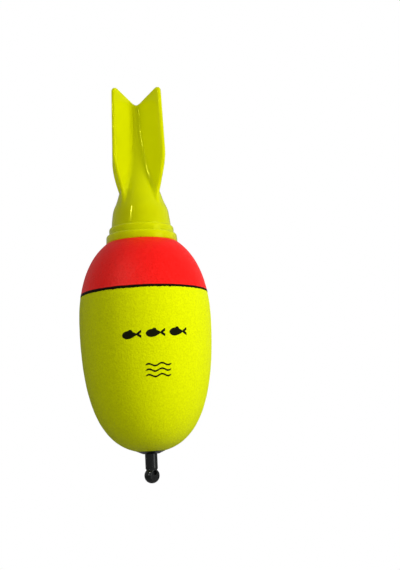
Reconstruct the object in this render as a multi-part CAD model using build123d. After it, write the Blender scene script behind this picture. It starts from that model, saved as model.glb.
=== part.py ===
from build123d import *
import math
import os

# Battery-lit bobber float, in millimetres.
# +Z runs up the float's axis and the origin is the centre of the hole in the line eye.
# The cap screws into the battery cup; one coin cell lies in the cup under it.

# Foam egg: two quarter curves that meet at the widest section
body_diameter = 45.5
pole_height = 6.7          # lower pole of the egg above the line eye
belly_length = 44.65       # widest section down to the lower pole
shoulder_length = 31.45    # widest section up to the upper pole
belly_fullness = 0.678     # 0 is a cone, 1 is a square corner
shoulder_fullness = 0.63
seam_rise = 9.65           # glued seam of body and crown, above the widest section
crown_lip = 0.4            # width of the foam's flat land round the battery cup
glue_gap = 0.05            # radial gap that the glue fills
hole_overrun = 1.0         # how far a cutting tool runs past the face it opens

# Line eye, stem and collar
stem_diameter = 4.2
eye_diameter = 5.2
eye_drop = 1.0             # centre of the ball below the centre of its hole
eye_width = 3.4            # across the two flats of the eye
eye_hole_diameter = 1.6
eye_turn = 40.0            # degrees from the front (-Y) towards +X
eye_edge_round = 0.15
shank_start = 1.1          # the shank grows out of the eye this far above the hole
collar_thickness = 1.0
collar_top_radius = 5.0    # the egg is cut flat where it is this wide
collar_bottom_radius = 2.7
collar_gap = 0.05
stem_socket_depth = 7.0
socket_wall = 1.8

# Coin cell, 20 mm across and 3.2 mm high, lying with its negative side up
cell_diameter = 20.0
cell_height = 3.2
cell_can_wall = 0.25
cell_shoulder_height = 2.95
cell_cap_diameter = 17.6
cell_gap = 0.05
well_clearance = 0.5       # radial room for the cell and the contact fingers

# Battery cup and its thread
thread_pitch = 2.0
thread_depth = 0.6
thread_root_width = 0.95
thread_crest_width = 0.45
thread_embed = 0.2         # how far a ridge reaches into the wall that carries it
thread_clearance = 0.1     # radial, between crest and root
cup_wall = 0.75
cup_floor_thickness = 1.4
cup_thread_turns = 2.5
seal_section = 0.9
seal_clearance = 0.075
seal_groove_height = 1.1

# Skirt of the cap, below the flange
skirt_length = 7.5
skirt_wall = 1.0
skirt_thread_turns = 2.25
skirt_lead_in = 1.2        # plain length below the first turn

# Flange, foot and bell of the cap
flange_overhang = 0.15     # rim of the flange beyond the foam's land
flange_thickness = 3.0
flange_taper = 0.1
flange_edge_round = 0.9
foot_step = 1.15           # the foot is this much narrower than the flange
foot_bulge = 1.5           # height at which the foot is still nearly as wide
foot_height = 2.7
bell_step = 0.85           # and the bell than the foot
bell_height = 12.2         # from the foot's top to the neck
bell_shape = ((0.965, 0.26), (0.915, 0.50), (0.80, 0.735))  # shares of radius and height
bell_lean = 0.12           # inward slope at the bell's foot
neck_radius = 7.3
hollow_top_wall = 2.2      # plastic between the hollow's top and the neck
hollow_rise = 2.4          # straight part of the hollow above the foot
hollow_fullness = (0.62, 0.5)  # how far the dome keeps its height and width

# Core and four vanes of the cap
core_shape = ((4.9, 7.1), (3.0, 15.9))  # radius of the core at heights above the neck
core_radius = 1.9          # slim rib where the vanes cross
core_clear = 6.2           # from the start of the rib up to the bottom of the notch
fin_rise = 54.5            # tips of the vanes above the flange's underside
vane_thickness = 1.5
vane_radius = 12.7
vane_tip_radius = 11.9
vane_root_radius = 7.4
vane_root_rise = 8.2       # start of a vane, inside the bell, above the foot
vane_root_lean = (1.8, 4.5)
vane_widest_rise = 31.4    # widest part of the vanes above the flange's underside
vane_upper_curve = 6.0
vane_turn = 47.0           # degrees from +X to the first vane
vane_edge_round = 0.7
notch_depth = 4.4
notch_round = 1.4
tip_round = 0.9

# Lamp inside the cap
board_thickness = 1.0
board_ledge = 0.7          # width of the ledge that the board rests against
board_gap = 0.1
board_depth = 1.5          # top face of the board below the flange
lamp_diameter = 5.0
lamp_rim_diameter = 5.8
lamp_rim_height = 1.0
lamp_length = 8.6
lamp_standoff = 5.5        # length of lead between board and lamp
lead_width = 0.5
lead_spacing = 2.54
lead_tail = 0.7
lead_hole_gap = 0.1
resistor_size = (3.2, 1.6, 0.6)
resistor_offset = 5.5

# Contacts under the lamp board
carrier_floor = 1.2
carrier_rim = 1.1
carrier_gap = 0.05
carrier_hole_radius = 3.8
spring_wire = 0.5
spring_top_radius = 2.9
spring_foot_radius = 1.7
spring_turns = 4.0
spring_cell_gap = 0.1
contact_space = 1.8        # from the skirt's end down to the cell
finger_width = 2.4
finger_thickness = 0.2
finger_reach = 3.4         # below the skirt's end
finger_count = 2
finger_gap = 0.05


def curve_height(width, fullness):
    """Height share at which a quarter curve of the egg has narrowed to a width share."""
    low, high = 0.0, 1.0
    for _ in range(50):
        t = (low + high) / 2
        if (1 - t) ** 3 + 3 * (1 - t) ** 2 * t + 3 * fullness * (1 - t) * t**2 > width:
            low = t
        else:
            high = t
    return 3 * fullness * (1 - t) ** 2 * t + 3 * (1 - t) * t**2 + t**3


# Sizes that follow from the ones above
body_radius = body_diameter / 2
widest_height = pole_height + belly_length
seam_height = widest_height + seam_rise
stem_radius = stem_diameter / 2
cell_radius = cell_diameter / 2
well_radius = cell_radius + well_clearance
cup_thread_root = well_radius + thread_depth
cup_radius = cup_thread_root + cup_wall
skirt_crest = cup_thread_root - thread_clearance
skirt_root = skirt_crest - thread_depth
skirt_bore = skirt_root - skirt_wall
land_radius = cup_radius + glue_gap + crown_lip
crown_top_height = widest_height + shoulder_length * curve_height(land_radius / body_radius, shoulder_fullness)
collar_height = widest_height - belly_length * curve_height(collar_top_radius / body_radius, belly_fullness)
skirt_bottom = crown_top_height - skirt_length
seal_seat_height = crown_top_height - seal_groove_height
seal_seat_radius = skirt_root + seal_section + 2 * seal_clearance
cell_top = skirt_bottom - contact_space
cell_bottom = cell_top - cell_height
cup_bottom = cell_bottom - cup_floor_thickness
stem_top = cup_bottom
boss_bottom = stem_top - stem_socket_depth
boss_radius = stem_radius + glue_gap + socket_wall
flange_radius = land_radius + flange_overhang
foot_radius = flange_radius - foot_step
bell_radius = foot_radius - bell_step
flange_top = crown_top_height + flange_thickness
foot_top = flange_top + foot_height
neck_height = foot_top + bell_height
fin_height = crown_top_height + fin_rise
notch_bottom = fin_height - notch_depth
vane_widest_height = crown_top_height + vane_widest_rise
board_top = crown_top_height - board_depth
board_bottom = board_top - board_thickness
board_radius = skirt_bore - board_gap
lamp_bottom = board_top + lamp_standoff
finger_inner = cell_radius + (well_clearance - finger_thickness) / 2
skirt_thread_low = skirt_bottom + skirt_lead_in
cup_thread_low = skirt_thread_low - thread_pitch / 2


def turned(outline):
    """Solid of revolution about +Z from a closed outline drawn as (radius, height)."""
    return revolve(Plane.XZ * make_face(outline), Axis.Z)


def turned_polygon(*corners):
    """Solid of revolution whose outline has straight sides."""
    return turned(Polyline(*corners, close=True))


def rod(radius, bottom, top):
    """Upright round rod on the float's axis."""
    return Pos(0, 0, bottom) * extrude(Circle(radius), amount=top - bottom)


def tube(inner, outer, bottom, top):
    """Upright round tube on the float's axis."""
    return rod(outer, bottom, top) - rod(inner, bottom, top)


def egg():
    """The whole egg, before it is cut into body and crown."""
    low_pole = widest_height - belly_length
    high_pole = widest_height + shoulder_length
    belly = Bezier(
        (body_radius, widest_height),
        (body_radius, widest_height - belly_fullness * belly_length),
        (belly_fullness * body_radius, low_pole),
        (0, low_pole),
    )
    shoulder = Bezier(
        (body_radius, widest_height),
        (body_radius, widest_height + shoulder_fullness * shoulder_length),
        (shoulder_fullness * body_radius, high_pole),
        (0, high_pole),
    )
    return turned(belly + shoulder + Line((0, low_pole), (0, high_pole)))


def slab(bottom, top):
    """Block wider than the float between two heights."""
    width = body_diameter + hole_overrun
    return Pos(0, 0, (bottom + top) / 2) * Box(width, width, top - bottom)


def cup_hole():
    """Space in the foam that the cup, its boss and the stem are glued into."""
    space = rod(cup_radius + glue_gap, cup_bottom - glue_gap, crown_top_height + hole_overrun)
    space += rod(boss_radius + glue_gap, boss_bottom - glue_gap, cup_bottom + glue_gap)
    space += rod(stem_radius + glue_gap, 0, boss_bottom)
    return space


def foam_body():
    """Yellow lower part of the egg, from the collar to the seam."""
    return egg() & slab(collar_height, seam_height) - cup_hole()


def foam_crown():
    """Red upper part of the egg, from the seam to the flange."""
    return egg() & slab(seam_height, crown_top_height) - cup_hole()


def thread_ridge(wall_radius, crest_radius, low, turns):
    """Helical ridge that stands on a round wall, towards crest_radius."""
    path = Helix(thread_pitch, turns * thread_pitch, wall_radius, center=(0, 0, low))
    outward = math.copysign(1, crest_radius - wall_radius)
    height = abs(crest_radius - wall_radius)
    section = Polyline(
        (-thread_embed * outward, -thread_root_width / 2),
        (height * outward, -thread_crest_width / 2),
        (height * outward, thread_crest_width / 2),
        (-thread_embed * outward, thread_root_width / 2),
        close=True,
    )
    start = Plane(origin=path @ 0, x_dir=(1, 0, 0), z_dir=-(path % 0))
    return sweep(start * make_face(section), path=path, is_frenet=True)


def battery_cup():
    """Threaded cup with the cell's well, and a boss below that takes the stem."""
    cup = rod(cup_radius, cup_bottom, crown_top_height)
    cup += rod(boss_radius, boss_bottom, cup_bottom)
    cup -= rod(well_radius, cell_bottom, crown_top_height)
    cup -= rod(cup_thread_root, skirt_bottom, crown_top_height)
    cup -= rod(seal_seat_radius, seal_seat_height, crown_top_height)
    cup -= rod(stem_radius + glue_gap, boss_bottom, stem_top)
    return cup + thread_ridge(cup_thread_root, well_radius, cup_thread_low, cup_thread_turns)


def stem():
    """Moulded rod with the line eye at its foot."""
    flats = extrude(Circle(eye_diameter), amount=eye_width / 2, both=True)
    eye = Sphere(eye_diameter / 2) & flats
    eye = fillet(eye.edges().filter_by(GeomType.CIRCLE), eye_edge_round)
    facing = Rot(0, 0, eye_turn) * Rot(90, 0, 0)
    hole = facing * extrude(Circle(eye_hole_diameter / 2), amount=eye_width, both=True)
    shank = rod(stem_radius, shank_start, stem_top)
    return Pos(0, 0, -eye_drop) * facing * eye + shank - hole


def stem_collar():
    """Washer that closes the foam round the stem."""
    bore = stem_radius + collar_gap
    bottom = collar_height - collar_thickness
    return turned_polygon(
        (bore, bottom),
        (collar_bottom_radius, bottom),
        (collar_top_radius, collar_height),
        (bore, collar_height),
    )


def bell_outline():
    """Outline of the flange, the foot, the bell and the core between the vanes."""
    rim = flange_radius
    top_rim = rim - flange_taper
    core_top = notch_bottom - vane_thickness
    edge = Polyline((0, crown_top_height), (rim, crown_top_height), (top_rim, flange_top - flange_edge_round))
    shoulder = Bezier(edge @ 1, (top_rim, flange_top), (top_rim - flange_edge_round, flange_top))
    land = Line(shoulder @ 1, (foot_radius, flange_top))
    foot = Bezier(land @ 1, (foot_radius, flange_top + foot_bulge), (bell_radius, foot_top))
    bell = Spline(
        foot @ 1,
        *[(share * bell_radius, foot_top + rise * bell_height) for share, rise in bell_shape],
        (neck_radius, neck_height),
        *[(radius, neck_height + rise) for radius, rise in core_shape],
        (core_radius, notch_bottom - core_clear),
        tangents=[(-bell_lean, 1), (0, 1)],
    )
    rib = Polyline(bell @ 1, (core_radius, core_top), (0, core_top), (0, crown_top_height))
    return edge + shoulder + land + foot + bell + rib


def vane_pair():
    """Flat plate across the axis that makes two opposite vanes, with a notched top."""
    root_height = foot_top + vane_root_rise
    lean_out, lean_up = vane_root_lean
    side = Bezier(
        (vane_root_radius, root_height),
        (vane_root_radius + lean_out, root_height + lean_up),
        (vane_radius, vane_widest_height - vane_upper_curve),
        (vane_radius, vane_widest_height),
    )
    rest = Polyline(
        side @ 1,
        (vane_tip_radius, fin_height + tip_round / 2),
        (0, notch_bottom),
        (0, root_height),
        side @ 0,
    )
    half = make_face(side + rest)
    outline = half + mirror(half, Plane.YZ)
    notch = [v for v in outline.vertices() if abs(v.X) < 0.01 and v.Y > notch_bottom - 0.1]
    outline = fillet(notch, notch_round)
    tips = [v for v in outline.vertices() if v.Y > fin_height]
    outline = fillet(tips, tip_round)
    plate = extrude(Plane.XZ * outline, amount=vane_thickness / 2, both=True)
    rims = [e for e in plate.edges() if abs(abs(e.center().Y) - vane_thickness / 2) < 0.01]
    rims = [e for e in rims if e.center().Z > root_height + 1]
    return fillet(rims, vane_edge_round)


def cap_hollow():
    """Space inside the skirt and the bell."""
    throat = skirt_bore - board_ledge
    shoulder = foot_top + hollow_rise
    tall, wide = hollow_fullness
    top = neck_height - hollow_top_wall
    dome = Bezier(
        (throat, shoulder),
        (throat, shoulder + tall * (top - shoulder)),
        (wide * throat, top),
        (0, top),
    )
    walls = Polyline(
        (0, top),
        (0, skirt_bottom),
        (skirt_bore, skirt_bottom),
        (skirt_bore, board_top),
        (throat, board_top),
        (throat, shoulder),
    )
    return turned(dome + walls)


def fin_cap():
    """One translucent moulding: threaded skirt, flange, bell and four crossed vanes."""
    cap = turned(bell_outline())
    plate = vane_pair()
    for quarter in (0, 90):
        cap += Rot(0, 0, vane_turn + quarter) * plate
    cap += rod(skirt_root, skirt_bottom, crown_top_height)
    cap -= cap_hollow()
    return cap + thread_ridge(skirt_root, skirt_crest, skirt_thread_low, skirt_thread_turns)


def seal_ring():
    """Round-section rubber ring between the cup's rim and the flange."""
    ring_radius = skirt_root + seal_clearance + seal_section / 2
    middle = seal_seat_height + seal_groove_height / 2
    return Pos(0, 0, middle) * Torus(ring_radius, seal_section / 2)


def lead_places():
    """Positions of the lamp's two leads."""
    return [(-lead_spacing / 2, 0), (lead_spacing / 2, 0)]


def led_board():
    """Round circuit board that closes the bell's hollow."""
    board = rod(board_radius, board_bottom, board_top)
    width = lead_width + 2 * lead_hole_gap
    for x, y in lead_places():
        board -= Pos(x, y, (board_bottom + board_top) / 2) * Box(width, width, board_thickness + hole_overrun)
    return board


def led_leads():
    """Two square wires from the board up to the lamp, by name."""
    bottom = board_bottom - lead_tail
    length = lamp_bottom - bottom
    wires = {}
    for name, (x, y) in zip(("cathode_lead", "anode_lead"), lead_places()):
        wires[name] = Pos(x, y, bottom + length / 2) * Box(lead_width, lead_width, length)
    return wires


def led_lens():
    """Clear lamp body with its rim and its domed top."""
    radius = lamp_diameter / 2
    dome_start = lamp_bottom + lamp_length - radius
    lens = rod(lamp_rim_diameter / 2, lamp_bottom, lamp_bottom + lamp_rim_height)
    lens += rod(radius, lamp_bottom, dome_start)
    return lens + Pos(0, 0, dome_start) * Sphere(radius)


def resistor():
    """Chip resistor on top of the board."""
    length, width, height = resistor_size
    return Pos(0, resistor_offset, board_top + height / 2) * Box(length, width, height)


def finger_leg_radius():
    """Distance from the axis to the inner face of a finger's upright leg."""
    room = skirt_bore - carrier_gap - carrier_rim - finger_gap
    return math.sqrt(room**2 - (finger_width / 2) ** 2) - finger_thickness


def contact_carrier():
    """Plastic ring that holds the board up and carries the contacts."""
    outer = skirt_bore - carrier_gap
    carrier = tube(outer - carrier_rim, outer, skirt_bottom, board_bottom)
    carrier += tube(carrier_hole_radius, outer, skirt_bottom, skirt_bottom + carrier_floor)
    depth = carrier_floor + hole_overrun
    slot = Box(finger_thickness + 2 * finger_gap, finger_width + 2 * finger_gap, depth)
    middle = finger_leg_radius() + finger_thickness / 2
    for number in range(finger_count):
        turn = Rot(0, 0, 360 * number / finger_count)
        carrier -= turn * (Pos(middle, 0, skirt_bottom + carrier_floor / 2) * slot)
    return carrier


def contact_finger(number):
    """Bent strip from the board down beside the positive can."""
    leg = finger_leg_radius()
    top = board_bottom
    under = skirt_bottom - finger_gap
    tip_outer = finger_inner + finger_thickness
    strip = Polyline(
        (leg, top),
        (leg + finger_thickness, top),
        (leg + finger_thickness, under),
        (tip_outer, under),
        (tip_outer, skirt_bottom - finger_reach),
        (finger_inner, skirt_bottom - finger_reach),
        (finger_inner, under - finger_thickness),
        (leg, under - finger_thickness),
        close=True,
    )
    finger = extrude(Plane.XZ * make_face(strip), amount=finger_width / 2, both=True)
    return Rot(0, 0, 360 * number / finger_count) * finger


def contact_spring():
    """Conical spring from the board down to the cell's negative side."""
    top = board_bottom - spring_wire / 2
    bottom = cell_top + spring_cell_gap + spring_wire / 2
    lean = math.degrees(math.atan((spring_top_radius - spring_foot_radius) / (top - bottom)))
    path = Helix(
        (top - bottom) / spring_turns,
        top - bottom,
        spring_foot_radius,
        center=(0, 0, bottom),
        cone_angle=lean,
    )
    start = Plane(origin=path @ 0, z_dir=path % 0)
    return sweep(start * Circle(spring_wire / 2), path=path, is_frenet=True)


def cell_can():
    """Positive can of the coin cell, open upwards."""
    can = rod(cell_radius, cell_bottom, cell_bottom + cell_shoulder_height)
    inner = cell_radius - cell_can_wall
    return can - rod(inner, cell_bottom + cell_can_wall, cell_top)


def cell_cap():
    """Negative cap of the coin cell, open downwards."""
    outer = cell_cap_diameter / 2
    low = cell_bottom + 2 * cell_can_wall
    cap = rod(outer, low, cell_top)
    return cap - rod(outer - cell_can_wall, low, cell_top - cell_can_wall)


def cell_gasket():
    """Plastic seal between can and cap."""
    return tube(
        cell_cap_diameter / 2 + cell_gap,
        cell_radius - cell_can_wall - cell_gap,
        cell_bottom + cell_can_wall,
        cell_bottom + cell_shoulder_height,
    )


def cell_core():
    """Electrodes and separator inside the cell."""
    radius = cell_cap_diameter / 2 - cell_can_wall - cell_gap
    return rod(radius, cell_bottom + cell_can_wall, cell_top - cell_can_wall)


parts = {
    "foam_body": foam_body(),
    "foam_crown": foam_crown(),
    "battery_cup": battery_cup(),
    "stem": stem(),
    "stem_collar": stem_collar(),
    "cell_can": cell_can(),
    "cell_gasket": cell_gasket(),
    "cell_cap": cell_cap(),
    "cell_core": cell_core(),
    "seal_ring": seal_ring(),
    "fin_cap": fin_cap(),
    "led_board": led_board(),
    "led_lens": led_lens(),
    "resistor": resistor(),
    "contact_carrier": contact_carrier(),
    "contact_spring": contact_spring(),
}
parts.update(led_leads())
for number in range(finger_count):
    parts[f"contact_finger_{number + 1}"] = contact_finger(number)

os.makedirs("parts", exist_ok=True)
for name, shape in parts.items():
    export_step(shape, f"parts/{name}.step")
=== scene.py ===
"""Looks of the battery-lit bobber float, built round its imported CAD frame.

Sizes are in millimetres in the classes and become metres in the meshes. +Z runs up the float's
axis, the origin is the centre of the line eye's hole, and the printed front faces -Y.
"""
import logging
import math
from dataclasses import dataclass, field
from enum import Enum
from typing import Optional, Sequence

import bmesh
import bpy
import numpy as np
from mathutils import Matrix, Vector, noise


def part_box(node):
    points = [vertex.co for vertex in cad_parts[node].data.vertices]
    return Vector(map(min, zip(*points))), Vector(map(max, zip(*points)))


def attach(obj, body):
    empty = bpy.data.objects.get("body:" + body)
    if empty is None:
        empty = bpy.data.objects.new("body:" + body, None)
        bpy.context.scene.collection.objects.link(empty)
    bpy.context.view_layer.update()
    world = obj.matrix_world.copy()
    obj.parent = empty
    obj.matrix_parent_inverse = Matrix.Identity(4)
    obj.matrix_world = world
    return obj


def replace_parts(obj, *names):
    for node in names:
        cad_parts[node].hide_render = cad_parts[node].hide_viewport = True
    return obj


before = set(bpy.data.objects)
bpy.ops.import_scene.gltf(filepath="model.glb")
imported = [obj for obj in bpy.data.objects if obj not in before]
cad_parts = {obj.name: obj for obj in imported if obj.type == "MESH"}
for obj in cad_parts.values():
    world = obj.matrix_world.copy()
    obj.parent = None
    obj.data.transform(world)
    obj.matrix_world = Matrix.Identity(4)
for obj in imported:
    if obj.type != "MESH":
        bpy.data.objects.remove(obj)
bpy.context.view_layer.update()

MM = 0.001
LOG = logging.getLogger("bobber_float")
Profile = list[tuple[float, float]]
Ring = list[tuple[float, float, float]]


class Body(Enum):
    """Moving bodies that the pieces of this script ride on."""

    FLOAT = "float_body"
    CAP = "cap"


# ---------------------------------------------------------------- colour and node helpers


def linear(code: str) -> tuple[float, float, float, float]:
    """Turn an sRGB hex colour into linear light.

    Args:
        code: six hex digits, such as "D8E000".

    Returns:
        Red, green, blue and an alpha of one.
    """
    channels = [int(code[i : i + 2], 16) / 255 for i in (0, 2, 4)]
    light = [c / 12.92 if c <= 0.04045 else ((c + 0.055) / 1.055) ** 2.4 for c in channels]
    return (*light, 1.0)


def add_node(
    tree: bpy.types.NodeTree, kind: str, inputs: Optional[dict] = None, **settings
) -> bpy.types.Node:
    """Add a node with its settings, input values and links.

    Args:
        tree: tree that the node goes into.
        kind: the node's type name.
        inputs: socket name or index to a value, or to an output socket that is linked to it.
        **settings: properties of the node.

    Returns:
        The new node.
    """
    node = tree.nodes.new(kind)
    for name, value in settings.items():
        setattr(node, name, value)
    for name, value in (inputs or {}).items():
        if isinstance(value, bpy.types.NodeSocket):
            tree.links.new(value, node.inputs[name])
        else:
            node.inputs[name].default_value = value
    return node


def grain_noise(
    tree: bpy.types.NodeTree, place: bpy.types.NodeSocket, size_mm: float, detail: float
) -> bpy.types.NodeSocket:
    """Cloudy noise of a real size.

    Args:
        tree: the material's tree.
        place: coordinates on the piece.
        size_mm: size of its grains.
        detail: how many finer layers it carries.

    Returns:
        The noise, from 0 to 1.
    """
    scale = 1 / (size_mm * MM)
    return add_node(
        tree, "ShaderNodeTexNoise", {"Vector": place, "Scale": scale, "Detail": detail}
    ).outputs["Fac"]


# ---------------------------------------------------------------- finishes

SCATTER_REACH = (1.0, 1.0, 0.2)  # how far red, green and blue light go inside a yellow plastic
MOTTLE_FROM, MOTTLE_TO = 0.3, 0.7  # the part of the noise that the mottle spreads over
DUST = "2E2A10"


@dataclass(frozen=True)
class Finish:
    """A solid material: its colour, its gloss and a fine surface grain.

    grain_mm is the size of the grain and grain_height_mm how high it stands. mottle is how much
    the colour varies, mottle_mm over what distance, and mottle_lift how pale its light spots
    are. roughness_swing is how much the gloss varies. The painted glow is emission in the finish's
    own colour: painted light that stands in for the fluorescent pigment's extra brightness and
    lifts the shaded side too. speck_mm is the size of rare dust specks, speck_spacing_mm apart.
    """

    name: str
    colour: str
    roughness: float
    ior: float = 1.5
    metallic: float = 0.0
    grain_mm: float = 0.3
    grain_height_mm: float = 0.01
    mottle: float = 0.03
    mottle_mm: float = 6.0
    mottle_lift: float = 0.0
    subsurface: float = 0.0
    subsurface_mm: float = 1.0
    coat: float = 0.0
    transmission: float = 0.0
    roughness_swing: float = 0.08
    gloss_tint: str = "FFFFFF"
    painted_glow: float = 0.0
    speck_mm: float = 0.0
    speck_spacing_mm: float = 9.0

    def material(self) -> bpy.types.Material:
        """Build the node material.

        Returns:
            The finished material.
        """
        material = bpy.data.materials.new(self.name)
        material.use_nodes = True
        tree = material.node_tree
        tree.nodes.clear()
        shader = add_node(
            tree, "ShaderNodeBsdfPrincipled",
            {
                "Metallic": self.metallic, "IOR": self.ior, "Subsurface Weight": self.subsurface,
                "Subsurface Scale": self.subsurface_mm * MM, "Subsurface Radius": SCATTER_REACH,
                "Coat Weight": self.coat, "Transmission Weight": self.transmission,
                # Emission in the finish's own colour is a painted glow: painted light from a part that is
                # no lamp
                "Specular Tint": linear(self.gloss_tint), "Emission Color": linear(self.colour),
                "Emission Strength": self.painted_glow,
            },
        )
        out = add_node(tree, "ShaderNodeOutputMaterial", {"Surface": shader.outputs["BSDF"]})
        out.is_active_output = True
        place = add_node(tree, "ShaderNodeTexCoord").outputs["Object"]
        self.paint(tree, shader, place)
        self.texture(tree, shader, place)
        return material

    def paint(
        self, tree: bpy.types.NodeTree, shader: bpy.types.Node, place: bpy.types.NodeSocket
    ) -> None:
        """Vary the colour softly.

        Args:
            tree: the material's tree.
            shader: its main shader.
            place: coordinates on the piece.
        """
        cloud = grain_noise(tree, place, self.mottle_mm, 3.0)
        red, green, blue, _ = linear(self.colour)
        low, high = 1 - self.mottle, 1 + self.mottle
        spread = add_node(
            tree, "ShaderNodeMapRange", {"Value": cloud, "From Min": MOTTLE_FROM, "From Max": MOTTLE_TO}
        )
        mix = add_node(tree, "ShaderNodeMix", {"Factor": spread.outputs["Result"]}, data_type="RGBA")
        mix.inputs["A"].default_value = (red * low, green * low, blue * low, 1)
        bright = [min(1, tone * high + self.mottle_lift) for tone in (red, green, blue)]
        mix.inputs["B"].default_value = (*bright, 1)
        colour = mix.outputs["Result"]
        if self.speck_mm:
            colour = self.specks(tree, place, colour)
        tree.links.new(colour, shader.inputs["Base Color"])

    def specks(
        self, tree: bpy.types.NodeTree, place: bpy.types.NodeSocket, colour: bpy.types.NodeSocket
    ) -> bpy.types.NodeSocket:
        """Scatter rare dark specks of dust over the colour.

        Args:
            tree: the material's tree.
            place: coordinates on the piece.
            colour: colour under the specks.

        Returns:
            The colour with its specks.
        """
        scale, soft = 1 / (self.speck_spacing_mm * MM), 0.3
        spots = add_node(tree, "ShaderNodeTexVoronoi", {"Vector": place, "Scale": scale})
        size = self.speck_mm / self.speck_spacing_mm / 2
        clean = add_node(
            tree, "ShaderNodeMapRange",
            {
                "Value": spots.outputs["Distance"],
                "From Min": size * (1 - soft), "From Max": size * (1 + soft),
            },
        )
        mix = add_node(tree, "ShaderNodeMix", {"Factor": clean.outputs["Result"]}, data_type="RGBA")
        mix.inputs["A"].default_value = linear(DUST)
        tree.links.new(colour, mix.inputs["B"])
        return mix.outputs["Result"]

    def texture(
        self, tree: bpy.types.NodeTree, shader: bpy.types.Node, place: bpy.types.NodeSocket
    ) -> None:
        """Add the grain as bump and as a swing of the roughness.

        Args:
            tree: the material's tree.
            shader: its main shader.
            place: coordinates on the piece.
        """
        grain = grain_noise(tree, place, self.grain_mm, 2.0)
        self.relief(tree, shader, grain, self.grain_height_mm, grain)

    def relief(
        self, tree: bpy.types.NodeTree, shader: bpy.types.Node, height: bpy.types.NodeSocket,
        height_mm: float, grain: bpy.types.NodeSocket,
    ) -> None:
        """Stand a pattern up as bump, and let the roughness swing with the grain.

        Args:
            tree: the material's tree.
            shader: its main shader.
            height: pattern of the bump.
            height_mm: how high it stands.
            grain: pattern of the roughness.
        """
        bump = add_node(
            tree, "ShaderNodeBump", {"Height": height, "Strength": 1.0, "Distance": height_mm * MM}
        )
        tree.links.new(bump.outputs["Normal"], shader.inputs["Normal"])
        low, high = self.roughness - self.roughness_swing, self.roughness + self.roughness_swing
        swing = add_node(
            tree, "ShaderNodeMapRange", {"Value": grain, "To Min": max(0.02, low), "To Max": min(1.0, high)}
        )
        tree.links.new(swing.outputs["Result"], shader.inputs["Roughness"])


@dataclass(frozen=True)
class PaintedFoam(Finish):
    """Float foam under a thin coat of fluorescent paint, which its closed cells pebble finely."""

    cell_mm: float = 0.62
    cell_height_mm: float = 0.08

    def texture(
        self, tree: bpy.types.NodeTree, shader: bpy.types.Node, place: bpy.types.NodeSocket
    ) -> None:
        """Pebble the paint with the foam's cells.

        Args:
            tree: the material's tree.
            shader: its main shader.
            place: coordinates on the piece.
        """
        scale = 1 / (self.cell_mm * MM)
        cells = add_node(
            tree, "ShaderNodeTexVoronoi", {"Vector": place, "Scale": scale}, feature="SMOOTH_F1"
        ).outputs["Distance"]
        fine = grain_noise(tree, place, self.grain_mm, 3.0)
        height = add_node(tree, "ShaderNodeMath", {0: cells, 1: fine}, operation="ADD").outputs[0]
        self.relief(tree, shader, height, self.cell_height_mm, fine)


# Moulded float foam under fluorescent lacquer: even, satin, saturated, with a fine pebble
YELLOW_FOAM = PaintedFoam(
    "lacquered_foam_yellow", "E4EE00", 0.62, grain_mm=0.3, mottle=0.09, mottle_mm=0.6,
    gloss_tint="FFFF10", speck_mm=0.35, speck_spacing_mm=17.0,
)
# The red's emission is a painted glow that brightens it in the shade as well
RED_FOAM = PaintedFoam(
    "lacquered_foam_red", "F80A05", 0.42, grain_mm=0.3, mottle=0.16, mottle_mm=0.55, mottle_lift=0.01,
    gloss_tint="FFA090", painted_glow=0.12, speck_mm=0.3, speck_spacing_mm=15.0,
)
# Fluorescent polycarbonate, injection moulded: glossy, light goes through its thin vanes
# Its emission is a painted glow: painted light that lifts the shaded bell and vanes
CAP_PLASTIC = Finish(
    "fluorescent_polycarbonate", "CCD200", 0.08, ior=1.585, grain_mm=2.5, grain_height_mm=0.006,
    mottle=0.015, mottle_mm=9.0, subsurface=1.0, subsurface_mm=5.0, roughness_swing=0.02,
    gloss_tint="FFFF40", painted_glow=0.1, speck_mm=0.3, speck_spacing_mm=14.0,
)
# Black ABS from a polished mould: deep black with a soft broad highlight
STEM_PLASTIC = Finish("black_abs", "0C0F0E", 0.24, ior=1.54, grain_mm=0.4, grain_height_mm=0.006)
# Printing ink: nearly black and matt, sits on the lacquer
BLACK_INK = Finish(
    "black_pad_ink", "15170A", 0.75, grain_mm=0.2, grain_height_mm=0.008, gloss_tint="606030"
)
# Hand-run line of black enamel, brownish and dull
BLACK_ENAMEL = Finish(
    "black_line_enamel", "120F06", 0.7, grain_mm=0.5, grain_height_mm=0.02, gloss_tint="605040"
)
# Natural white ABS of the hidden moulded parts
WHITE_ABS = Finish("white_abs", "E4E3DC", 0.4, ior=1.54)
# Nickel-plated steel of the coin cell, pressed
CELL_STEEL = Finish(
    "nickel_plated_steel", "B9BBC0", 0.28, metallic=1.0, grain_mm=0.15, grain_height_mm=0.004
)
# Nickel-plated music wire of the contact spring
SPRING_STEEL = Finish("nickel_plated_spring_wire", "AEB0B4", 0.22, metallic=1.0)
# Tinned copper of the lamp's leads
TINNED_WIRE = Finish("tinned_copper_wire", "C4C6C8", 0.25, metallic=1.0)
# Phosphor bronze strip of the contact fingers
PHOSPHOR_BRONZE = Finish("phosphor_bronze_strip", "C59A5A", 0.3, metallic=1.0)
# Black polypropylene of the cell's seal
GASKET_PLASTIC = Finish("black_polypropylene", "24242A", 0.5, ior=1.49)
# Pressed powder inside the cell
CELL_PELLET = Finish("pressed_electrode_pellet", "1E1E1F", 0.8, grain_mm=0.1, grain_height_mm=0.02)
# Nitrile rubber O-ring, moulded
NITRILE_RUBBER = Finish("nitrile_rubber", "161616", 0.5, ior=1.52)
# Green solder mask over glass-epoxy laminate
SOLDER_MASK = Finish("solder_mask_green", "0F5A2A", 0.3, ior=1.55, coat=0.3)
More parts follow.
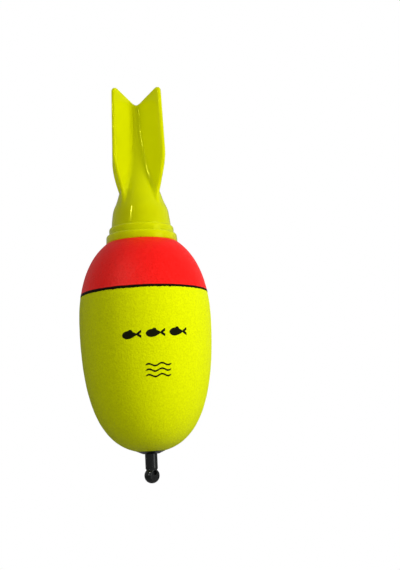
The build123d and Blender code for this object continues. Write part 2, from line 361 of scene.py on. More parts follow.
# Clear red-tinted epoxy of the lamp
LAMP_EPOXY = Finish("lamp_epoxy_red", "F06048", 0.08, ior=1.55, transmission=0.6, mottle=0.02)
# Glazed ceramic of the chip resistor
CHIP_GLAZE = Finish("glazed_chip_ceramic", "1B1B1D", 0.25, ior=1.6)


# ---------------------------------------------------------------- mesh helpers

WELD = 0.0005 * MM  # points closer than this are one point


def object_from(name: str, mesh: bpy.types.Mesh) -> bpy.types.Object:
    """Put a mesh into the scene as an object at the origin.

    Args:
        name: name of the piece.
        mesh: its mesh.

    Returns:
        The new object.
    """
    piece = bpy.data.objects.new(name, mesh)
    bpy.context.scene.collection.objects.link(piece)
    return piece


def drop_scraps(shape: bmesh.types.BMesh, fewest: int = 20) -> None:
    """Delete the few faces that welding or cutting left beside a closed skin.

    Args:
        shape: mesh to clean.
        fewest: islands with fewer faces than this are scraps.
    """
    left = set(shape.faces)
    scraps = []
    while left:
        queue, island = [left.pop()], []
        while queue:
            face = queue.pop()
            island.append(face)
            for edge in face.edges:
                if len(edge.link_faces) == 2:
                    beside = [other for other in edge.link_faces if other in left]
                    left.difference_update(beside)
                    queue += beside
        if len(island) < fewest:
            scraps += island
    bmesh.ops.delete(shape, geom=scraps, context="FACES")


def tidy_mesh(mesh: bpy.types.Mesh, sharp_degrees: float) -> None:
    """Weld a mesh, turn its faces outwards and smooth it up to an angle.

    Args:
        mesh: mesh in metres.
        sharp_degrees: edges sharper than this stay crisp.
    """
    shape = bmesh.new()
    shape.from_mesh(mesh)
    bmesh.ops.remove_doubles(shape, verts=shape.verts, dist=WELD)
    bmesh.ops.dissolve_degenerate(shape, edges=shape.edges, dist=WELD)
    drop_scraps(shape)
    bmesh.ops.recalc_face_normals(shape, faces=shape.faces)
    for face in shape.faces:
        face.smooth = True
    shape.to_mesh(mesh)
    shape.free()
    mesh.set_sharp_from_angle(angle=math.radians(sharp_degrees))


def ring_mesh(
    name: str, rows: np.ndarray, closed: bool, sharp_degrees: float = 35.0, capped: bool = False
) -> bpy.types.Object:
    """Join rings of points into a skin.

    Args:
        name: name of the piece.
        rows: points in mm, as rings, points of a ring, coordinates.
        closed: True joins the last ring to the first one, as on a tube.
        sharp_degrees: edges sharper than this stay crisp.
        capped: True closes both ends with a face.

    Returns:
        The new piece.
    """
    rings, count, _ = rows.shape
    faces = []
    for ring in range(rings if closed else rings - 1):
        upper = (ring + 1) % rings
        for i in range(count):
            j = (i + 1) % count
            faces.append((ring * count + i, ring * count + j, upper * count + j, upper * count + i))
    if capped:
        faces += [tuple(range(count)), tuple(range((rings - 1) * count, rings * count))]
    mesh = bpy.data.meshes.new(name)
    mesh.from_pydata((rows.reshape(-1, 3) * MM).tolist(), [], faces)
    tidy_mesh(mesh, sharp_degrees)
    return object_from(name, mesh)


def lathe_rows(profile: Profile, segments: int) -> np.ndarray:
    """Turn a profile of radius and height into rings of points.

    Args:
        profile: radius and height of each ring, in mm.
        segments: points in a ring.

    Returns:
        Rings of points in mm.
    """
    turn = np.linspace(0, 2 * math.pi, segments, endpoint=False)
    radius = np.array([r for r, _ in profile])[:, None]
    height = np.array([z for _, z in profile])[:, None] + 0 * turn
    return np.stack([radius * np.cos(turn), radius * np.sin(turn), height], axis=-1)


def rounded(profile: Profile, radius: float, steps: int = 4) -> Profile:
    """Round every corner of a closed profile.

    Args:
        profile: corners in order, in mm.
        radius: how far from each corner the rounding starts.
        steps: points on each rounding.

    Returns:
        The profile with its corners replaced by short curves.
    """
    smooth: Profile = []
    count = len(profile)
    for i, corner in enumerate(profile):
        here = Vector(corner)
        before = Vector(profile[i - 1]) - here
        after = Vector(profile[(i + 1) % count]) - here
        start = here + before.normalized() * min(radius, before.length / 3)
        end = here + after.normalized() * min(radius, after.length / 3)
        for step in range(steps + 1):
            t = step / steps
            point = (1 - t) ** 2 * start + 2 * t * (1 - t) * here + t**2 * end
            smooth.append((point.x, point.y))
    return smooth


def dense(profile: Profile, step: float) -> Profile:
    """Split the long sides of a closed profile so that no side is longer than a step."""
    fine: Profile = []
    for i, (r, z) in enumerate(profile):
        r2, z2 = profile[(i + 1) % len(profile)]
        pieces = max(1, math.ceil(math.hypot(r2 - r, z2 - z) / step))
        fine += [(r + (r2 - r) * k / pieces, z + (z2 - z) * k / pieces) for k in range(pieces)]
    return fine


def finish_piece(
    piece: bpy.types.Object, material: bpy.types.Material, body: Body
) -> bpy.types.Object:
    """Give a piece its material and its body.

    Args:
        piece: the object.
        material: its finish.
        body: moving body that it belongs to.

    Returns:
        The same object.
    """
    piece.data.materials.clear()
    piece.data.materials.append(material)
    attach(piece, body.value)
    LOG.info("%s: %d faces", piece.name, len(piece.data.polygons))
    return piece


# ---------------------------------------------------------------- foam egg


@dataclass
class FoamEgg:
    """The foam body and its crown, with the waterline between them."""

    radius: float = 22.75
    pole_height: float = 6.7
    belly_length: float = 44.65
    shoulder_length: float = 31.45
    belly_fullness: float = 0.678
    shoulder_fullness: float = 0.63
    dent_mm: float = 0.035
    dent_size_mm: float = 2.2
    segments: int = 224
    ring_step: float = 0.62
    samples: int = 400
    glue: float = 0.05
    line_width: float = 0.95
    line_taper: float = 0.16
    line_segments: int = 1080
    curve: tuple[np.ndarray, np.ndarray] = field(init=False)

    def __post_init__(self) -> None:
        """Work the egg's outline out once, as heights and radii."""
        t = np.linspace(0, 1, self.samples)
        widest = self.pole_height + self.belly_length

        def quarter(length: float, fullness: float) -> tuple[np.ndarray, np.ndarray]:
            """Radius and distance from the widest section along one quarter curve."""
            wide = (1 - t) ** 3 + 3 * (1 - t) ** 2 * t + 3 * fullness * (1 - t) * t**2
            far = 3 * fullness * (1 - t) ** 2 * t + 3 * (1 - t) * t**2 + t**3
            return self.radius * wide, length * far

        low_r, low_z = quarter(self.belly_length, self.belly_fullness)
        high_r, high_z = quarter(self.shoulder_length, self.shoulder_fullness)
        heights = np.concatenate([(widest - low_z)[::-1], (widest + high_z)[1:]])
        radii = np.concatenate([low_r[::-1], high_r[1:]])
        self.curve = (heights, radii)

    def skin(self, turn: float, height: float, lift: float = 0.0) -> tuple[float, float, float]:
        """Point on the foam's skin.

        Args:
            turn: angle about the axis, in radians from +X.
            height: height in mm.
            lift: distance off the skin, outwards.

        Returns:
            The point in mm.
        """
        radius = float(np.interp(height, *self.curve))
        spot = Vector((radius * math.cos(turn), radius * math.sin(turn), height)) / self.dent_size_mm
        radius += self.dent_mm * noise.noise(spot) + lift
        return (radius * math.cos(turn), radius * math.sin(turn), height)

    def half(self, name: str, low: float, high: float, inside: Profile) -> bpy.types.Object:
        """One foam moulding between two heights.

        Args:
            name: name of the piece.
            low: height of its lower edge.
            high: height of its upper edge.
            inside: rest of the profile, from the upper edge inwards and back to the lower edge.

        Returns:
            The new piece.
        """
        turns = np.linspace(0, 2 * math.pi, self.segments, endpoint=False)
        between = np.linspace(low, high, self.samples)
        steps = np.hypot(np.diff(between), np.diff(np.interp(between, *self.curve)))
        walked = np.concatenate([[0], np.cumsum(steps)])
        rings = round(walked[-1] / self.ring_step)
        heights = np.interp(np.linspace(0, walked[-1], rings), walked, between)
        outer = np.array([[self.skin(turn, z) for turn in turns] for z in heights])
        inner = lathe_rows(inside, self.segments)
        return ring_mesh(name, np.concatenate([outer, inner]), closed=True, sharp_degrees=40)

    def waterline(self, seam: float) -> bpy.types.Object:
        """Hand-run black line over the seam, wider on the left, with a jagged lower edge.

        Args:
            seam: height of the seam.

        Returns:
            The new piece.
        """
        edge, crown, sunk, bevel = -0.02, 0.05, -0.2, 0.07
        rows = []
        for turn in np.linspace(0, 2 * math.pi, self.line_segments, endpoint=False):
            ring = Vector((math.cos(turn), math.sin(turn), 0.0))
            width = self.line_width - self.line_taper * ring.x
            ragged = 0.17 * noise.noise(ring * 30.0) + 0.12 * noise.noise(ring * 75.0)
            steady = 0.07 * noise.noise(ring * 9.0 + Vector((4, 4, 4)))
            low = seam - width / 2 + min(0.1, ragged)
            high = seam + width / 2 + steady
            middle = (low + high) / 2
            places = [
                (low, edge), (low + bevel, crown), (middle, crown + 0.01),
                (high - bevel, crown), (high, edge), (middle, sunk),
            ]
            rows.append([self.skin(turn, z, lift) for z, lift in places])
        points = np.array(rows).transpose(1, 0, 2)
        return ring_mesh("waterline", points, closed=True, sharp_degrees=60)

    def build(self) -> None:
        """Build and dress both foam mouldings and the waterline."""
        body_low, body_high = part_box("foam_body")
        crown_low, crown_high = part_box("foam_crown")
        cup_low, cup_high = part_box("battery_cup")
        bottom, seam, land = body_low.z / MM, crown_low.z / MM, crown_high.z / MM
        hidden, wall_step = BatteryCup(), 6.0
        cup, boss = cup_high.x / MM + self.glue, hidden.boss_radius + self.glue
        stem = LineStem.radius + self.glue
        boss_bottom, cup_floor = cup_low.z / MM - self.glue, hidden.bottom - self.glue
        bore = [(boss, seam), (boss, boss_bottom), (stem, boss_bottom), (stem, bottom)]
        body = self.half("foam_body_skin", bottom, seam, dense(bore, wall_step))
        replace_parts(finish_piece(body, YELLOW_FOAM.material(), Body.FLOAT), "foam_body")
        well = [(cup, land), (cup, cup_floor), (boss, cup_floor), (boss, seam)]
        crown = self.half("foam_crown_skin", seam, land, dense(well, wall_step))
        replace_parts(finish_piece(crown, RED_FOAM.material(), Body.FLOAT), "foam_crown")
        finish_piece(self.waterline(seam), BLACK_ENAMEL.material(), Body.FLOAT)
        ink = BLACK_INK.material()
        for name, strips in FrontPrint(self).marks().items():
            finish_piece(joined(name, strips), ink, Body.FLOAT)


@dataclass
class FrontPrint:
    """Ink marks on the front of the foam: a row of three plain fish over three small waves."""

    egg: FoamEgg
    fish_turn: float = -82.0
    fish_height: float = 45.3
    fish_length: float = 6.4
    fish_depth: float = 2.7
    fish_pitch: float = 7.9
    slant: float = 0.04
    wave_turn: float = -80.3
    wave_height: float = 33.4
    wave_width: float = 9.0
    wave_pitch: float = 1.75
    wave_line: float = 0.55
    wave_height_swing: float = 0.38
    wave_crests: int = 2
    raised: float = 0.035
    sunk: float = -0.05

    def strip(
        self, name: str, turn: float, height: float, edges: Profile, start: float, end: float
    ) -> bpy.types.Object:
        """Thin closed strip of ink wrapped on the foam.

        Args:
            name: name of the piece.
            turn: angle of the mark's centre, in degrees.
            height: height of the mark's centre.
            edges: lower and upper edge at even steps along the strip.
            start: where the strip starts, along the skin from the centre.
            end: where it ends.

        Returns:
            The new piece.
        """
        rings = []
        for along, (low, high) in zip(np.linspace(start, end, len(edges)), edges):
            angle = math.radians(turn) + along / self.egg.radius
            lean = along * self.slant
            across = np.linspace(low, high, 5)
            top = [self.egg.skin(angle, height + lean + z, self.raised) for z in across]
            bottom = [self.egg.skin(angle, height + lean + z, self.sunk) for z in reversed(across)]
            rings.append(top + bottom)
        return ring_mesh(name, np.array(rings), closed=False, sharp_degrees=50, capped=True)

    def fish(self, number: int) -> list[bpy.types.Object]:
        """Body, tail and back fin of one fish that swims to the left."""
        length, depth = self.fish_length, self.fish_depth
        nose = (number - 1) * self.fish_pitch - length / 2
        body_length, blunt, overlap = 0.78 * length, 0.07, 0.05
        body, tail, fin = [], [], []
        for t in np.linspace(0, 1, 28):
            half = depth / 2 * math.sin(math.pi * t**0.72) ** 0.8 * 0.92 + blunt
            body.append((-half, half))
        for t in np.linspace(0, 1, 12):
            half = 0.12 + (depth * 0.46) * t**0.8
            fork = max(0.0, (t - 0.55) / 0.45) * depth * 0.2
            tail.append((fork - overlap, half))
        for t in np.linspace(0, 1, 10):
            fin.append((depth * 0.3, depth * (0.36 + 0.26 * math.sin(math.pi * t) ** 0.7)))
        place = (self.fish_turn, self.fish_height)
        tail_start, tail_end = nose + body_length - 0.25, nose + length
        return [
            self.strip("fish_body", *place, body, nose, nose + body_length),
            self.strip("fish_tail_top", *place, tail, tail_start, tail_end),
            self.strip("fish_tail_low", *place, [(-b, -a) for a, b in tail], tail_start, tail_end),
            self.strip("fish_fin", *place, fin, nose + 0.3 * length, nose + 0.56 * length),
        ]

    def wave(self, number: int) -> list[bpy.types.Object]:
        """One wavy line, tapered at both ends."""
        rise = (number - 1) * self.wave_pitch
        edges = []
        for t in np.linspace(0, 1, 60):
            middle = rise + self.wave_height_swing * math.sin(2 * math.pi * self.wave_crests * t)
            half = self.wave_line / 2 * min(1.0, 0.25 + 14 * min(t, 1 - t))
            edges.append((middle - half, middle + half))
        end = self.wave_width / 2
        return [self.strip("wave", self.wave_turn, self.wave_height, edges, -end, end)]

    def marks(self) -> dict[str, list[bpy.types.Object]]:
        """Build every strip of both marks.

        Returns:
            The strips of each mark, by its name.
        """
        return {
            "fish_print": [strip for number in range(3) for strip in self.fish(number)],
            "wave_print": [strip for number in range(3) for strip in self.wave(number)],
        }


@dataclass
class BatteryCup:
    """Sizes of the hidden cup that the foam and the cap fit round."""

    boss_radius: float = 3.95
    floor_thickness: float = 1.4

    @property
    def bottom(self) -> float:
        """Underside of the cup, where its boss starts."""
        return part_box("cell_can")[0].z / MM - self.floor_thickness


# ---------------------------------------------------------------- stem with the line eye


@dataclass
class LineStem:
    """Black stem, its line eye and the collar under the foam, whose outer rim is the foam's shade painted
    black.
    """

    radius: float = 2.1
    eye_radius: float = 2.6
    eye_drop: float = 1.0
    half_width: float = 1.7
    hole_radius: float = 0.8
    eye_turn: float = 40.0
    neck_radius: float = 1.85
    neck_start: float = 0.95
    neck_end: float = 1.35
    rod_start: float = 5.0
    rod_margin: float = 0.005
    overlap: float = 1.0
    cut_reach: float = 4.0
    collar_gap: float = 0.05
    collar_foot: float = 0.54
    voxel: float = 0.1

    def ball(self) -> bpy.types.Object:
        """Ball with two flats, round the axis of its hole."""
        flat = math.sqrt(self.eye_radius**2 - self.half_width**2)
        start = math.asin(self.half_width / self.eye_radius)
        profile = [(0.0, self.half_width), (flat, self.half_width)]
        for angle in np.linspace(start, -start, 16)[1:-1]:
            profile.append((self.eye_radius * math.cos(angle), self.eye_radius * math.sin(angle)))
        profile += [(flat, -self.half_width), (0.0, -self.half_width)]
        return ring_mesh("eye_ball", lathe_rows(profile, 96), closed=False)

    def build(self) -> None:
        """Build and dress the stem and its collar."""
        facing = Matrix.Rotation(math.radians(self.eye_turn), 4, "Z")
        facing = facing @ Matrix.Rotation(math.radians(90), 4, "X")
        ball = self.ball()
        ball.data.transform(Matrix.Translation((0, 0, -self.eye_drop * MM)) @ facing)
        low, top = self.rod_start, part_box("stem")[1].z / MM
        end = low + self.overlap
        neck = [
            (0.0, self.neck_start), (self.neck_radius, self.neck_start),
            (self.radius, self.neck_end), (self.radius, end), (0.0, end),
        ]
        shank = ring_mesh("eye_shank", lathe_rows(neck, 96), closed=False)
        reach = self.cut_reach
        bore = [(0.0, -reach), (self.hole_radius, -reach), (self.hole_radius, reach), (0.0, reach)]
        hole = ring_mesh("eye_hole", lathe_rows(bore, 64), closed=False)
        hole.data.transform(facing)
        lower = merged("line_eye", [ball, shank], hole, self.voxel)
        wide = self.radius + self.rod_margin
        rod = [(0.0, low), (wide, low), (wide, top), (0.0, top)]
        upper = ring_mesh("stem_rod", lathe_rows(rod, 96), closed=False)
        stem = joined("stem_with_line_eye", [lower, upper])
        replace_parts(finish_piece(stem, STEM_PLASTIC.material(), Body.FLOAT), "stem")
        # The collar takes its size from the frame's stem_collar, which spans the whole dark ring under the
        # foam: the real black collar and, around it, the shade under the foam, painted as black plastic.
        low_corner, high_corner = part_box("stem_collar")
        bottom, top, wide = low_corner.z / MM, high_corner.z / MM, high_corner.x / MM
        inner, foot = self.radius + self.collar_gap, self.collar_foot * wide
        profile = [(inner, bottom), (foot, bottom), (wide, top), (inner, top)]
        collar = ring_mesh("collar_with_painted_shade", lathe_rows(rounded(profile, 0.2), 96), closed=True)
        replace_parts(finish_piece(collar, STEM_PLASTIC.material(), Body.FLOAT), "stem_collar")


def merged(
    name: str, parts: Sequence[bpy.types.Object], hole: bpy.types.Object, voxel: float
) -> bpy.types.Object:
    """Grow parts into one skin with soft inner corners, and cut a hole through it.

    Args:
        name: name of the result.
        parts: closed meshes; they are used up.
        hole: closed mesh that is cut away; it is used up.
        voxel: grid size of the new skin, in mm.

    Returns:
        The merged piece.
    """
    whole = joined(name + "_raw", parts)
    grid = whole.modifiers.new("skin", "REMESH")
    grid.mode = "VOXEL"
    grid.voxel_size = voxel * MM
    ease = whole.modifiers.new("ease", "SMOOTH")
    ease.factor = 0.5
    ease.iterations = 6
    cut = whole.modifiers.new("cut", "BOOLEAN")
    cut.operation = "DIFFERENCE"
    cut.object = hole
    piece = baked(whole, name)
    bpy.data.objects.remove(hole)
    tidy_mesh(piece.data, 50)
    return piece


def joined(name: str, parts: Sequence[bpy.types.Object]) -> bpy.types.Object:
    """Put several meshes into one object.

    Args:
        name: name of the result.
        parts: meshes at the origin; they are used up.

    Returns:
        The joined piece.
    """
    shape = bmesh.new()
    for part in parts:
        shape.from_mesh(part.data)
        bpy.data.objects.remove(part)
    mesh = bpy.data.meshes.new(name)
    shape.to_mesh(mesh)
    shape.free()
    return object_from(name, mesh)


def baked(source: bpy.types.Object, name: str) -> bpy.types.Object:
    """Turn an object with modifiers into a plain mesh.

    Args:
        source: object whose modifiers are applied; it is used up.
        name: name of the result.

    Returns:
        The plain piece.
    """
    bpy.context.view_layer.update()
    graph = bpy.context.evaluated_depsgraph_get()
    mesh = bpy.data.meshes.new_from_object(source.evaluated_get(graph))
    mesh.name = name
    bpy.data.objects.remove(source)
    return object_from(name, mesh)


# ---------------------------------------------------------------- coils


@dataclass
class Coil:
    """Ridge or wire that follows a screw line, made with geometry nodes."""

    low: float
    rise: float
    turns: float
    start_radius: float
    end_radius: float
    width: float
    depth: float
    corners: int
    steps_per_turn: int = 72

    def build(self, name: str, material: bpy.types.Material) -> bpy.types.Object:
        """Sweep the section along the screw line.

        Args:
            name: name of the piece.
            material: its finish.

        Returns:
            The new piece.
        """
        tree = bpy.data.node_groups.new(name + "_coil", "GeometryNodeTree")
        ports = []
        for label, value in (
            ("Turns", self.turns), ("Start Radius", self.start_radius * MM),
            ("End Radius", self.end_radius * MM), ("Rise", self.rise * MM),
        ):
            socket = tree.interface.new_socket(label, in_out="INPUT", socket_type="NodeSocketFloat")
            ports.append((socket.identifier, value))
        tree.interface.new_socket("Geometry", in_out="OUTPUT", socket_type="NodeSocketGeometry")
        given = tree.nodes.new("NodeGroupInput").outputs
        line = add_node(
            tree, "GeometryNodeCurveSpiral",
            {
                "Resolution": self.steps_per_turn, "Rotations": given["Turns"],
                "Start Radius": given["Start Radius"], "End Radius": given["End Radius"],
                "Height": given["Rise"],
            },
        )
        upright = add_node(tree, "GeometryNodeSetCurveNormal", {"Curve": line.outputs["Curve"]})
        set_upright(upright)
        section = add_node(
            tree, "GeometryNodeCurvePrimitiveCircle", {"Resolution": self.corners, "Radius": 1.0}
        )
        shaped = add_node(
            tree, "GeometryNodeTransform",
            {
                "Geometry": section.outputs["Curve"],
                "Scale": (self.width / 2 * MM, self.depth / 2 * MM, 1.0),
            },
        )
        swept = add_node(
            tree, "GeometryNodeCurveToMesh",
            {
                "Curve": upright.outputs["Curve"], "Profile Curve": shaped.outputs["Geometry"],
                "Fill Caps": True,
            },
        )
        lifted = add_node(
            tree, "GeometryNodeTransform",
            {"Geometry": swept.outputs["Mesh"], "Translation": (0.0, 0.0, self.low * MM)},
        )
        real = add_node(tree, "GeometryNodeRealizeInstances", {"Geometry": lifted.outputs["Geometry"]})
        coated = add_node(
            tree, "GeometryNodeSetMaterial", {"Geometry": real.outputs["Geometry"], "Material": material}
        )
        add_node(tree, "NodeGroupOutput", {"Geometry": coated.outputs["Geometry"]})
        carrier = object_from(name + "_line", bpy.data.meshes.new(name + "_line"))
        modifier = carrier.modifiers.new("coil", "NODES")
        modifier.node_group = tree
        for identifier, value in ports:
            modifier[identifier] = value
        piece = baked(carrier, name)
        tidy_mesh(piece.data, 40)
        return piece


def set_upright(node: bpy.types.Node) -> None:
    """Keep a curve's normals in the level plane, whichever way this version names that mode."""
    if hasattr(node, "mode"):
        node.mode = "Z_UP"
    else:
        node.inputs["Mode"].default_value = "Z Up"


# ---------------------------------------------------------------- finned cap


def quarter_round(r: float, z: float, wide: float, tall: float, steps: int) -> Profile:
    """Quarter of an ellipse, from its outermost point up to its top.

    Args:
        r: radius of the ellipse's centre.
        z: height of the ellipse's centre.
        wide: its half width.
        tall: its half height.
        steps: number of straight pieces.

    Returns:
        The points, as radius and height.
    """
    turns = [math.pi / 2 * step / steps for step in range(steps + 1)]
    return [(r + wide * math.cos(a), z + tall * math.sin(a)) for a in turns]


@dataclass
class FinCap:
    """Translucent cap: skirt, flange, bell and four crossed vanes with a notched top."""

    flange_radius: float = 12.45
    flange_thickness: float = 3.0
    foot_radius: float = 11.3
    foot_height: float = 2.7
    bell_height: float = 12.2
    skirt_root: float = 10.4
    skirt_bore: float = 9.4
    skirt_length: float = 7.5
    board_depth: float = 1.5
    throat: float = 8.7
    vane_half: float = 0.75
    vane_radius: float = 12.7
    tip_radius: float = 11.9
    fin_rise: float = 54.5
    widest_rise: float = 31.4
    slope: float = 0.5
    tip_round: float = 1.5
    notch_round: float = 0.55
    turn: float = 47.0
    blend: float = 3.4
    core_tip: float = 0.9
    ease_start: float = 3.2
    ease_length: float = 2.4
    root_rise: float = 8.2
    root_reach: float = 7.4
    root_slope: float = 0.6
    root_pull: tuple[float, float] = (9.2, 4.5)
    widest_pull: float = 6.0
    fillet: float = 0.9
    least_face: float = 0.2
    end_steps: int = 6
    face_steps: int = 12
    valley_steps: int = 9
    land: float = field(init=False)

    def __post_init__(self) -> None:
        """Take the flange's height from the frame and work out what follows from it."""
        self.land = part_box("foam_crown")[1].z / MM
        self.foot_top = self.land + self.flange_thickness + self.foot_height
        self.neck = self.foot_top + self.bell_height
        self.tip = self.land + self.fin_rise
        self.widest = self.land + self.widest_rise
        self.tilt = math.atan(self.slope)
        self.tip_centre = self.tip_radius - self.tip_round
        lean = 1 / math.cos(self.tilt) - 1
        self.notch = self.tip + self.tip_round * lean - self.slope * self.tip_centre
        self.tip_middle = self.notch + self.slope * self.tip_centre - self.tip_round / math.cos(self.tilt)
        knots = [
            (0.0, 10.45), (3.17, 10.08), (6.1, 9.56), (8.97, 8.36),
            (12.2, 7.3), (19.3, 4.7), (28.1, 2.6), (38.2, 1.5),
        ]
        self.core_knots = np.array([(self.foot_top + rise, radius) for rise, radius in knots])

    def core(self, height: float) -> float:
        """Radius of the bell and the core at a height."""
        z, r = self.core_knots[:, 0], self.core_knots[:, 1]
        if height >= z[-1]:
            ease = float(np.clip((height - self.notch + self.ease_start) / self.ease_length, 0, 1))
            return float(r[-1]) - (float(r[-1]) - self.core_tip) * ease * ease * (3 - 2 * ease)
        slopes = np.gradient(r, z)
        slopes[0], slopes[-1] = -0.12, 0.0
        i = int(np.clip(np.searchsorted(z, height) - 1, 0, len(z) - 2))
        span = z[i + 1] - z[i]
        t = (height - z[i]) / span
        keep = 2 * t**3 - 3 * t**2 + 1
        ease_in, ease_out = t**3 - 2 * t**2 + t, t**3 - t**2
        bend = span * (ease_in * slopes[i] + ease_out * slopes[i + 1])
        return float(keep * r[i] + (1 - keep) * r[i + 1] + bend)

    def reach(self, height: float) -> float:
        """Outer radius of the vanes at a height."""
        root = self.foot_top + self.root_rise
        if height >= self.widest:
            share = (height - self.widest) / (self.tip - self.widest)
            return self.vane_radius + (self.tip_radius - self.vane_radius) * share
        if height <= root:
            return self.root_reach - self.root_slope * (root - height)
        corners = np.array([
            (self.root_reach, root), (self.root_pull[0], root + self.root_pull[1]),
            (self.vane_radius, self.widest - self.widest_pull), (self.vane_radius, self.widest),
        ])
        t = np.linspace(0, 1, 200)[:, None]
        curve = (1 - t) ** 3 * corners[0] + 3 * (1 - t) ** 2 * t * corners[1]
        curve = curve + 3 * (1 - t) * t**2 * corners[2] + t**3 * corners[3]
        return float(np.interp(height, curve[:, 1], curve[:, 0]))

    def smooth_max(self, a: float, b: float) -> float:
        """Larger of two radii, with a soft change from one to the other."""
        near = max(self.blend - abs(a - b), 0.0) / self.blend
        return max(a, b) + near**2 * self.blend / 4

    def stations(self, reach: float, core: float) -> list[tuple[float, float]]:
        """Places along a vane's rounded end and its face, down to the core.

        Args:
            reach: outer radius of the vane.
            core: radius of the core.

        Returns:
            Distance from the axis along the vane, and half thickness, of each place.
        """
        half = self.vane_half
        places = []
        for step in range(self.end_steps + 1):
            a = math.pi / 2 * step / self.end_steps
            places.append((reach - half * (1 - math.cos(a)), half * math.sin(a)))
        inner = min(core + self.fillet, reach - half - self.least_face)
        for step in range(1, self.face_steps + 1):
            share = step / self.face_steps
            places.append((reach - half + (inner - reach + half) * share, half))
        return places

    def low_ring(self, height: float) -> list[tuple[float, float]]:
        """Angle and radius of each point of one eighth of the section, below the notch."""
        reach, core, half = self.reach(height), self.core(height), self.vane_half
        angles = [math.atan2(eta, rho) for rho, eta in self.stations(reach, core)]
        last = angles[-1]
        for step in range(1, self.valley_steps + 1):
            angles.append(last + (math.pi / 4 - last) * step / self.valley_steps)
        even = np.linspace(0, math.pi / 4, len(angles))
        weight = float(np.clip((reach - half - core + 0.6) / 2.4, 0, 1))
        weight = weight * weight * (3 - 2 * weight)
        ring = []
        for plain, own in zip(even, angles):
            phi = plain + (own - plain) * weight
            radius = self.section(phi, reach)
            ring.append((phi, self.smooth_max(radius, core)))
        return ring

    def section(self, phi: float, reach: float) -> float:
        """Radius of a vane's rounded outline at an angle from its middle plane."""
        half = self.vane_half
        centre = reach - half
        across = centre * math.sin(phi)
        if across <= half and centre > 0:
            return centre * math.cos(phi) + math.sqrt(half**2 - across**2)
        return half / max(math.sin(phi), 1e-6)

    def edge_line(self, rho: float) -> float:
        """Height of the sloping edge and the notch's rounded bottom, without the tips."""
        return self.notch + self.slope * math.hypot(rho, self.notch_round)

    def top_height(self, rho: float) -> float:
        """Height of the notched top edge at a distance from the axis."""
        if rho > self.tip_centre - self.tip_round * math.sin(self.tilt):
            rise = math.sqrt(max(self.tip_round**2 - (rho - self.tip_centre) ** 2, 0.0))
            return self.tip_middle + rise
        return self.edge_line(rho)

    def edge_distance(self, rho: float, height: float) -> float:
        """Distance of a point of a vane's face from the vane's outline."""
        up = height - self.tip_middle
        beyond = rho > self.tip_centre - up * math.tan(self.tilt) and rho > self.tip_centre - 1
        if beyond and height > self.tip_middle:
            return self.tip_round - math.hypot(rho - self.tip_centre, up)
        top = (self.edge_line(rho) - height) * math.cos(self.tilt)
        return max(0.0, min(self.reach(height) - rho, top))

    def rounding(self, distance: float) -> float:
        """Half thickness of a vane at a distance from its outline."""
        inside = max(0.0, 1 - max(distance, 0.0) / self.vane_half)
        return self.vane_half * math.sqrt(max(0.0, 1 - inside**2))

    def level(self, crest: float, kind: str, value: float) -> float:
        """Height under a crest, as a share of the way up to it or as a depth below it."""
        if kind == "share":
            return self.widest + (crest - self.vane_half - self.widest) * value
        return crest - value

    def high_rings(self) -> list[Ring]:
        """Rings above the vanes' widest place, as angle, radius and height of each point.

        Their lines run up to the notched top edge, where the vanes round over.
        """
        tip_core = self.core(self.tip)
        tops = self.stations(self.tip_radius, tip_core)
        last_phi = math.atan2(self.vane_half, tops[-1][0])
        steps = [("share", float(v)) for v in np.linspace(0, 1, 26)[1:-1]]
        steps += [("below", self.vane_half * (1 - math.cos(a))) for a in np.linspace(math.pi / 2, 0, 7)]
        rings = []
        for kind, value in steps:
            ring = []
            for number, (top_rho, _) in enumerate(tops):
                height = self.level(self.top_height(top_rho), kind, value)
                rho, _ = self.stations(self.reach(height), self.core(height))[number]
                sharp = number == 0 or (kind == "below" and value == 0.0)
                eta = 0.0 if sharp else self.rounding(self.edge_distance(rho, height))
                ring.append((math.atan2(eta, rho), math.hypot(rho, eta), height))
            first_phi, face_radius, face_height = ring[-1]
            valley = self.level(self.top_height(tip_core), kind, value)
            core = self.core(valley)
            half = self.vane_half if kind == "share" else self.rounding(value)
            for step in range(1, self.valley_steps + 1):
                share, height = step / self.valley_steps, valley
                phi = first_phi + (math.pi / 4 - first_phi) * share
                plate = half / max(math.sin(phi), 1e-6)
                if phi < last_phi:
                    height += (face_height - height) * (1 - share)
                ring.append((phi, self.smooth_max(min(plate, face_radius), core), height))
            rings.append(ring)
        return rings

    def around(self, eighth: Ring) -> Ring:
        """Mirror one eighth of a section into the whole ring.

        Args:
            eighth: angle, radius and height of its points, from a vane's middle to the valley's.

        Returns:
            Points of the whole ring in mm.
        """
        quarter = list(eighth) + [(math.pi / 2 - phi, r, z) for phi, r, z in reversed(eighth[1:-1])]
        ring = []
        for number in range(4):
            start = math.radians(self.turn) + number * math.pi / 2
            ring += [(r * math.cos(start + phi), r * math.sin(start + phi), z) for phi, r, z in quarter]
        return ring

